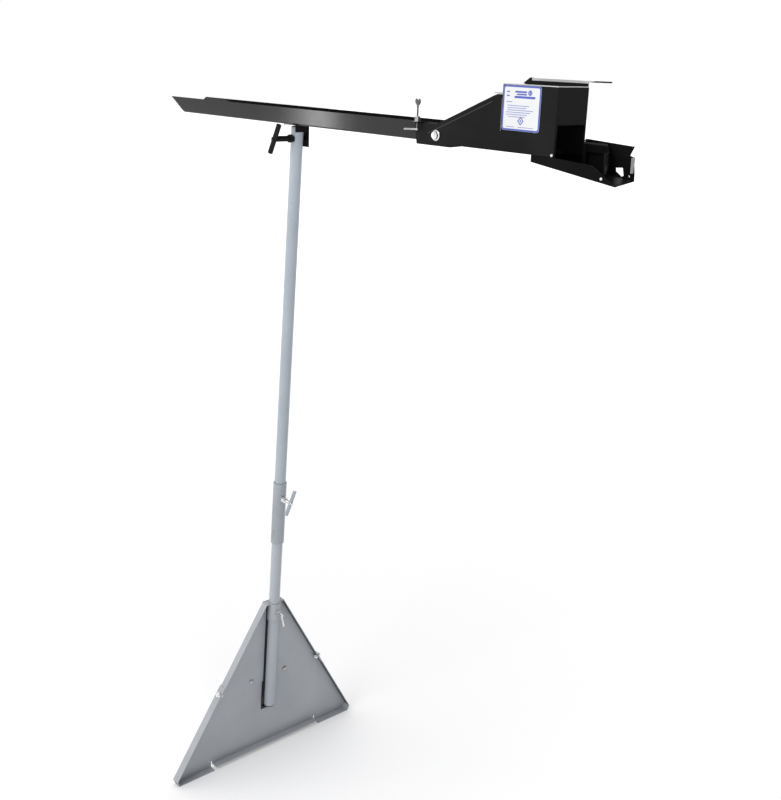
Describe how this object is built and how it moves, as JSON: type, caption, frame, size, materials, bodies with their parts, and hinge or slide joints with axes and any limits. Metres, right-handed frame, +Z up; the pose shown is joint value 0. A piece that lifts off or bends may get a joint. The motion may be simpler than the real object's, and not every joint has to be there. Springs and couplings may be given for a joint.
{
  "type": "automatic ball feeder for a baseball pitching machine",
  "caption": "Tall leaning stand with a flat trapezoid base, a long open ball trough and a folding battery-driven head that drops balls one by one into a pitching machine.",
  "frame": {"origin": "on the floor midway between the two feet, where the leg's axis meets it", "axes": "+X along the trough towards the head, +Y across the trough towards the rest flange, +Z up"},
  "size_m": [1.5738, 0.655, 2.0493],
  "materials": {
    "base_paint": "light blue-grey powder coat, satin",
    "tube_paint": "pale grey powder coat, satin",
    "black_paint": "black powder coat, satin",
    "zinc": "bright zinc plating",
    "black_plastic": "matte moulded plastic",
    "label": "printed vinyl, satin",
    "spring_steel": "bare sheet steel",
    "rubber": "moulded rubber",
    "board": "green circuit board",
    "cell_jacket": "printed cell sleeve"
  },
  "bodies": {
    "base": {"lower_base_panel": "base_paint", "upper_base_panel": "base_paint", "plate_bolt_1": "zinc", "plate_bolt_2": "zinc", "plate_nut_1": "zinc", "plate_nut_2": "zinc", "flange_bolt_1": "zinc", "flange_bolt_2": "zinc", "flange_nut_1": "zinc", "flange_nut_2": "zinc", "base_collar": "base_paint", "base_clamp_nut": "zinc"},
    "base_screw": {"base_clamp_screw": "zinc"},
    "lower_leg": {"lower_tube": "tube_paint", "lower_tube_plug": "black_plastic", "coupling_sleeve": "tube_paint", "sleeve_rivet": "zinc", "sleeve_clamp_nut": "zinc"},
    "sleeve_screw": {"sleeve_clamp_screw": "zinc", "sleeve_clamp_bar": "tube_paint"},
    "upper_leg": {"upper_tube": "tube_paint", "top_clamp_nut": "black_paint"},
    "pivot_screw": {"top_clamp_screw": "black_paint", "top_clamp_bar": "black_plastic"},
    "trough": {"saddle_bracket": "black_paint", "pivot_locknut": "zinc", "ball_trough": "black_paint", "trough_rivet_1": "zinc", "trough_rivet_2": "zinc", "splice_channel": "black_paint", "wing_screw_nut": "zinc", "hinge_bolt_1": "zinc", "hinge_bolt_2": "zinc", "hinge_nut_1": "zinc", "hinge_nut_2": "zinc"},
    "wing": {"wing_screw": "zinc"},
    "pin": {"locking_pin": "zinc"},
    "head": {"head_frame": "black_paint", "box_shell": "black_paint", "box_lid": "black_paint", "hook_plate": "black_paint", "control_label": "label", "delivery_chute": "black_paint", "box_screw": "zinc", "chute_screw_1": "zinc", "chute_screw_2": "zinc", "flap_pin": "zinc", "mounting_deck": "spring_steel", "gearmotor": "spring_steel", "battery_cell_1": "cell_jacket", "battery_cell_2": "cell_jacket", "battery_holder": "black_plastic", "controller_board": "board", "switch_body": "black_plastic"},
    "release": {"output_shaft": "zinc", "release_wheel": "rubber"},
    "flap": {"retaining_flap": "black_paint"},
    "rocker": {"switch_rocker": "black_plastic"}
  },
  "joints": [
    {"name": "base_screw_turn", "type": "hinge", "parent": "base", "child": "base_screw", "pos_m": [0.03432, 0, 0.4908], "axis": [0.9976, 0, -0.0698], "continuous": true},
    {"name": "leg_height", "type": "slide", "parent": "base", "child": "lower_leg", "axis": [0.0698, 0, 0.9976], "range_m": [-0.02, 0.2]},
    {"name": "sleeve_screw_turn", "type": "hinge", "parent": "lower_leg", "child": "sleeve_screw", "pos_m": [0.06041, 0, 0.86389], "axis": [0.9976, 0, -0.0698], "continuous": true},
    {"name": "leg_swivel", "type": "hinge", "parent": "lower_leg", "child": "upper_leg", "pos_m": [0.06041, 0, 0.86389], "axis": [0.0698, 0, 0.9976], "continuous": true},
    {"name": "pivot_screw_turn", "type": "hinge", "parent": "upper_leg", "child": "pivot_screw", "pos_m": [0.13086, 0, 1.87143], "axis": [0, -1, 0], "continuous": true},
    {"name": "trough_tilt", "type": "hinge", "parent": "upper_leg", "child": "trough", "pos_m": [0.13086, 0, 1.87143], "axis": [0, 1, 0], "range_deg": [-12, 60]},
    {"name": "wing_screw_turn", "type": "hinge", "parent": "trough", "child": "wing", "pos_m": [0.63544, -0.054, 1.96834], "axis": [0, 0, 1], "continuous": true},
    {"name": "pin_pull", "type": "slide", "parent": "trough", "child": "pin", "axis": [0, -1, 0], "range_m": [0, 0.02]},
    {"name": "head_fold", "type": "hinge", "parent": "trough", "child": "head", "pos_m": [0.69144, 0, 1.92234], "axis": [0, -1, 0], "range_deg": [0, 95]},
    {"name": "release_turn", "type": "hinge", "parent": "head", "child": "release", "pos_m": [0.94544, 0, 2.00334], "axis": [0, 1, 0], "continuous": true},
    {"name": "flap_swing", "type": "hinge", "parent": "head", "child": "flap", "pos_m": [1.02644, 0.0375, 1.90834], "axis": [0, 0, 1], "range_deg": [0, 8], "stiffness_Nm_per_rad": 0.15},
    {"name": "rocker_press", "type": "hinge", "parent": "head", "child": "rocker", "pos_m": [0.88044, -0.013, 2.02784], "axis": [0, 0, 1], "range_deg": [0, 10]}
  ]
}
